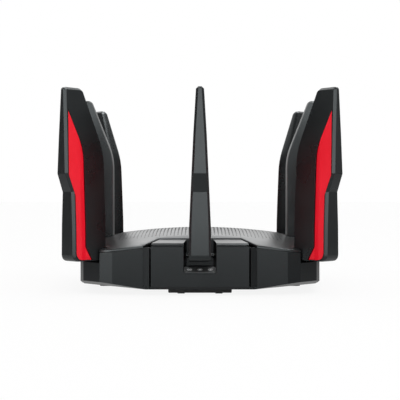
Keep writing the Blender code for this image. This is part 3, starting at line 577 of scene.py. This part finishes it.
def arc_strip(inner, outer, start, end, steps=10):
    """A piece of a ring as a counterclockwise outline. Angles are in degrees."""
    turns = [math.radians(start + (end - start) * count / steps) for count in range(steps + 1)]
    outer_edge = [(outer * math.cos(turn), outer * math.sin(turn)) for turn in turns]
    inner_edge = [(inner * math.cos(turn), inner * math.sin(turn)) for turn in reversed(turns)]
    return outer_edge + inner_edge


def bar(half_width, half_length):
    return [
        (-half_width, -half_length),
        (half_width, -half_length),
        (half_width, half_length),
        (-half_width, half_length),
    ]


def disc(radius):
    turns = [math.tau * count / DISC_STEPS for count in range(DISC_STEPS)]
    return [(radius * math.cos(turn), radius * math.sin(turn)) for turn in turns]


def key_marks():
    """Three plain signs, drawn in millimetres on keys 5.6 wide and 3.4 long."""
    wide = (1.05, 1.5)  # inner and outer radius
    wider = (1.05, 1.55)
    narrow = (0.95, 1.45)
    ring = [arc_strip(*wide, 100, 260), arc_strip(*wide, -80, 80), disc(0.6)]
    rays = [disc(0.75)] + [arc_strip(*wider, turn - 14, turn + 14, 2) for turn in range(0, 360, 60)]
    turning = [arc_strip(*narrow, 20, 150), arc_strip(*narrow, 200, 330), bar(0.3, 0.6)]
    return {"button_left": ring, "button_middle": rays, "button_right": turning}


def shelf_frame():
    """The matrix of the sloping shelf's middle, with its normal along Z and its upper edge towards Y."""
    down = Vector((0, SHELF_EDGE[0] - SHELF_FRONT[0], SHELF_FRONT[1] - SHELF_EDGE[1])).normalized()
    across = Vector((1, 0, 0))
    place = Matrix((across, -down, across.cross(-down))).transposed().to_4x4()
    middle = (Vector(SHELF_EDGE) + Vector(SHELF_FRONT)) / 2
    place.translation = Vector((0, -middle.x, middle.y)) + down * KEY_FORWARD
    return place


def make_marks(material):
    """Raised marks, pad-printed in grey, on top of the keys."""
    for index, (name, outlines) in enumerate(key_marks().items()):
        work = bmesh.new()
        for outline in outlines:
            low = [work.verts.new((x * MARK_WIDEN * MM, y * MM, 0)) for x, y in outline]
            high = [work.verts.new((vert.co.x, vert.co.y, MARK_THICK)) for vert in low]
            work.faces.new(high)
            work.faces.new(low[::-1])
            for corner in range(len(low)):
                work.faces.new((low[corner - 1], low[corner], high[corner], high[corner - 1]))
        mesh = bpy.data.meshes.new(name)
        work.to_mesh(mesh)
        work.free()
        aside = Matrix.Translation(((index - 1) * KEY_PITCH, 0, KEY_PROUD + MARK_GAP))
        mesh.transform(shelf_frame() @ aside)
        new_piece(name + "_mark", mesh, material, frame["nodes"][name]["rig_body"])


# ---------------------------------------------------------------- sockets and screws

def mouth_frame(name, side):
    """The matrix of a socket's mouth: its origin is the middle of the lower edge, and Y points inward."""
    turn = Matrix.Rotation(math.radians(SIDES[side] + 90), 4, "Z")
    source = frame["nodes"][name]
    spots = [turn.inverted() @ (source.matrix_world @ vert.co) for vert in source.data.vertices]
    low_x = min(spot.x for spot in spots)
    high_x = max(spot.x for spot in spots)
    low_y = min(spot.y for spot in spots)
    low_z = min(spot.z for spot in spots)
    return turn @ Matrix.Translation(((low_x + high_x) / 2, low_y, low_z))


def add_strip(work, path, x, half_width, thick):
    """Adds a flat strip of metal along a path of (y, z), x from the middle. All in millimetres."""
    rings = []
    for y, z in path:
        corners = ((-1, 0), (1, 0), (1, 1), (-1, 1))
        spots = [Vector((x + side * half_width, y, z - up * thick)) * MM for side, up in corners]
        rings.append([work.verts.new(spot) for spot in spots])
    for ring, after in zip(rings, rings[1:]):
        for index in range(len(ring)):
            work.faces.new((ring[index - 1], ring[index], after[index], after[index - 1]))
    work.faces.new(rings[0])
    work.faces.new(rings[-1][::-1])


def make_contacts(name, side, material, count, path, sizes):
    """A row of metal strips in a socket's mouth."""
    pitch, half_width, thick = sizes
    work = bmesh.new()
    for index in range(count):
        add_strip(work, path, (index - (count - 1) / 2) * pitch, half_width, thick)
    mesh = finished_mesh(work, name, mouth_frame(name, side))
    new_piece(name + "_contacts", mesh, material, frame["nodes"][name]["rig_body"])


def make_net_contacts(name, side, material):
    """Sprung wires that slant down from the roof of a network socket."""
    make_contacts(name, side, material, NET_CONTACTS, NET_CONTACT_PATH, NET_CONTACT_SIZES)


def make_usb_contacts(name, side, material):
    """Flat contacts on the under side of a USB socket's tongue."""
    make_contacts(name, side, material, USB_CONTACTS, USB_CONTACT_PATH, USB_CONTACT_SIZES)


def turned_shape(profile, segments):
    """A closed bmesh turned about Y from a profile of (y, radius) that starts and ends on the axis."""
    work = bmesh.new()
    rings = []
    for y, radius in profile[1:-1]:
        turns = [math.tau * count / segments for count in range(segments)]
        spots = [Vector((radius * math.cos(turn), y, radius * math.sin(turn))) * MM for turn in turns]
        rings.append([work.verts.new(spot) for spot in spots])
    for ring, after in zip(rings, rings[1:]):
        for index in range(segments):
            work.faces.new((ring[index - 1], ring[index], after[index], after[index - 1]))
    for (y, _), ring in ((profile[0], rings[0]), (profile[-1], rings[-1])):
        tip = work.verts.new((0, y * MM, 0))
        for index in range(segments):
            work.faces.new((ring[index - 1], ring[index], tip))
    return work


def make_power_pin(material):
    """The metal sleeve on the pin of the power inlet."""
    place = mouth_frame("dc_socket", "rear") @ Matrix.Translation((0, 0, PIN_HEIGHT))
    mesh = shaded(finished_mesh(turned_shape(PIN_PROFILE, PIN_SEGMENTS), "pin", place))
    new_piece("dc_socket_pin", mesh, material, frame["nodes"]["dc_socket"]["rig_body"])


def cross_slot(degrees):
    """A cutter for one slot of a screw's cross recess, turned about the screw's axis."""
    work = bmesh.new()
    bmesh.ops.create_cube(work, size=1.0)
    bmesh.ops.scale(work, vec=Vector(SCREW_CROSS) * MM, verts=work.verts)
    bmesh.ops.translate(work, vec=Vector((0, SCREW_CROSS_MIDDLE, 0)) * MM, verts=work.verts)
    turn = Matrix.Rotation(math.radians(degrees), 4, "Y")
    return placed_object("cross", finished_mesh(work, "cross", turn))


def make_screw(name, x, y, material):
    """A pan-head screw with a cross recess, under one of the board posts."""
    head = placed_object(name, finished_mesh(turned_shape(SCREW_PROFILE, SCREW_SEGMENTS), name))
    cutters = [cross_slot(0), cross_slot(90)]
    for cutter in cutters:
        recess = head.modifiers.new("cross", "BOOLEAN")
        recess.operation = "DIFFERENCE"
        recess.object = cutter
    mesh = evaluated_mesh(head)
    for thing in [head] + cutters:
        bpy.data.objects.remove(thing, do_unlink=True)
    # The head's axis turns from -Y to -Z, and its rim meets the shell's floor
    mesh.transform(Matrix.Translation((x, y, SHELL_FLOOR)) @ Matrix.Rotation(math.radians(90), 4, "X"))
    new_piece(name, shaded(mesh), material, frame["nodes"]["bottom_shell"]["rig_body"])


# ---------------------------------------------------------------- stage

def smooth_range(tree, value, start, end, low, high):
    inputs = {"Value": value, "From Min": start, "From Max": end, "To Min": low, "To Max": high}
    return node(tree, "MapRange", inputs, interpolation_type="SMOOTHSTEP").outputs[0]


def combined(tree, operation, one, two):
    """The sum or the product of two values."""
    return node(tree, "Math", {0: one, 1: two}, operation=operation).outputs[0]


def card(tree, direction, axis, inner, outer, radiance):
    """The brightness of a round soft card: full out to inner degrees from its axis, and none past outer."""
    inputs = {0: direction, 1: Vector(axis).normalized()}
    facing = node(tree, "VectorMath", inputs, operation="DOT_PRODUCT")
    limits = [math.cos(math.radians(angle)) for angle in (outer, inner)]
    return smooth_range(tree, facing.outputs["Value"], *limits, 0.0, radiance)


def make_world():
    """A pale room. Only glossy rays see it dark, with the soft cards in it."""
    world = bpy.data.worlds.new("studio")
    bpy.context.scene.world = world
    world.use_nodes = True
    tree = world.node_tree
    background = tree.nodes["Background"]
    direction = node(tree, "TexCoord").outputs["Generated"]
    light = ROOM_GLOSS
    for axis, inner, outer, radiance in CARDS:
        light = combined(tree, "ADD", light, card(tree, direction, axis, inner, outer, radiance))
    rays = node(tree, "LightPath").outputs
    fill = mixed(tree, rays["Is Camera Ray"], (FILL_LIGHT,) * 3, (1.0, 1.0, 1.0))
    tree.links.new(mixed(tree, rays["Is Glossy Ray"], fill, light), background.inputs["Color"])


def mirrored_floor(tree):
    """What glossy rays see in the floor's place: soft cards near the object and in front of it."""
    parts = node(tree, "SeparateXYZ", {"Vector": object_coordinates(tree)}).outputs
    length = node(tree, "VectorMath", {0: object_coordinates(tree)}, operation="LENGTH").outputs["Value"]
    near = smooth_range(tree, length, *NEAR_ENDS, 1.0, 0.0)
    left = smooth_range(tree, parts["X"], *LEFT_STARTS, FLOOR_NEAR, FLOOR_NEAR + FLOOR_LEFT)
    close = combined(tree, "MULTIPLY", near, left)
    ahead = smooth_range(tree, parts["Y"], *AHEAD_STARTS, FLOOR_WIDE, FLOOR_AHEAD)
    strength = combined(tree, "ADD", close, ahead)
    return node(tree, "Emission", {"Color": (1, 1, 1, 1), "Strength": strength}).outputs[0]


def floor_material():
    """Pale paint with a faint shadow on it, and cards for glossy rays."""
    material, tree, shader = new_material("floor")
    broad = noise(tree, 0.4, 2.0)
    pale = mixed(tree, ranged(tree, broad, 0.0, 1.0), (0.86, 0.86, 0.86), (0.88, 0.88, 0.88))
    tree.links.new(pale, shader.inputs["Base Color"])
    tree.links.new(ranged(tree, broad, 0.7, 0.8), shader.inputs["Roughness"])
    shader.inputs["Specular IOR Level"].default_value = 0.1
    rays = node(tree, "LightPath").outputs
    share = combined(tree, "MULTIPLY", rays["Is Camera Ray"], FLOOR_GLOW)
    glow = node(tree, "Emission", {"Color": (1, 1, 1, 1)}).outputs[0]
    seen = node(tree, "MixShader", {0: share, 1: shader.outputs[0], 2: glow}).outputs[0]
    mirrored = mirrored_floor(tree)
    both = node(tree, "MixShader", {0: rays["Is Glossy Ray"], 1: seen, 2: mirrored}).outputs[0]
    tree.links.new(both, tree.nodes["Material Output"].inputs["Surface"])
    return material


def make_floor():
    work = bmesh.new()
    bmesh.ops.create_circle(work, cap_ends=True, segments=96, radius=FLOOR_RADIUS)
    mesh = bpy.data.meshes.new("floor")
    work.to_mesh(mesh)
    work.free()
    mesh.materials.append(floor_material())
    placed_object("floor", mesh)


def make_key_light():
    """A large soft light above and in front, a little to the right."""
    data = bpy.data.lights.new("key_light", "AREA")
    data.shape = "RECTANGLE"
    data.size, data.size_y = KEY_LIGHT_SIZE
    data.energy = KEY_LIGHT_POWER
    lamp = placed_object("key_light", data)
    lamp.location = KEY_LIGHT_AT
    lamp.rotation_euler = (-lamp.location).to_track_quat("-Z", "Y").to_euler()
    lamp.visible_camera = False
    lamp.visible_glossy = False


def make_camera():
    data = bpy.data.cameras.new("camera")
    data.lens = LENS
    data.sensor_width = SENSOR_WIDTH
    camera = placed_object("camera", data)
    camera.location = (0, -CAMERA_AHEAD, CAMERA_HEIGHT)
    camera.rotation_euler = (math.radians(90), 0, 0)
    bpy.context.scene.camera = camera
    bpy.context.scene.view_settings.view_transform = "Standard"


# ---------------------------------------------------------------- assembly

make_camera()
make_world()
make_key_light()
make_floor()
looks = make_materials()

for place in (*SIDES, *CORNERS):
    refined("antenna_" + place + "_shell", looks["antenna"])
    for side in ("left", "right"):
        inlay = "antenna_" + place + "_inlay_" + side
        refined(inlay, looks["red"], 0.25 * MM, crease=INLAY_CREASE)
    painted("antenna_" + place + "_radiator", looks["board"])
refined("bottom_shell", looks["shell"], turn=SHELL_EDGE_TURN)
make_top_cover(looks["cover"])
for side in SIDES:
    refined("side_block_" + side, looks["shell"], turn=SHELL_EDGE_TURN)
    refined("foot_" + side, looks["rubber"], 0.3 * MM)
refined("button_shelf", looks["keys"], 0.2 * MM)
for name in ("button_left", "button_middle", "button_right"):
    refined(name, looks["keys"], 0.15 * MM)
make_marks(looks["print"])
refined("power_button", looks["shell"], 0.2 * MM)
refined("reset_button", looks["black"], 0.15 * MM)
for name in NET_SIDES:
    refined(name, looks["black"], 0.2 * MM)
for name in USB_SIDES:
    refined(name, looks["tin"], 0.1 * MM)
refined("dc_socket", looks["black"], 0.2 * MM)
painted("main_board", looks["board"])
painted("shield_can", looks["tin"])
painted("heat_sink", looks["aluminium"])

for name, side in NET_SIDES.items():
    make_net_contacts(name, side, looks["gold"])
for name, side in USB_SIDES.items():
    make_usb_contacts(name, side, looks["gold"])
make_power_pin(looks["tin"])
for number, (x, y) in enumerate(SCREW_CORNERS, 1):
    make_screw("screw_%d" % number, x * SCREW_AT, y * SCREW_AT, looks["tin"])
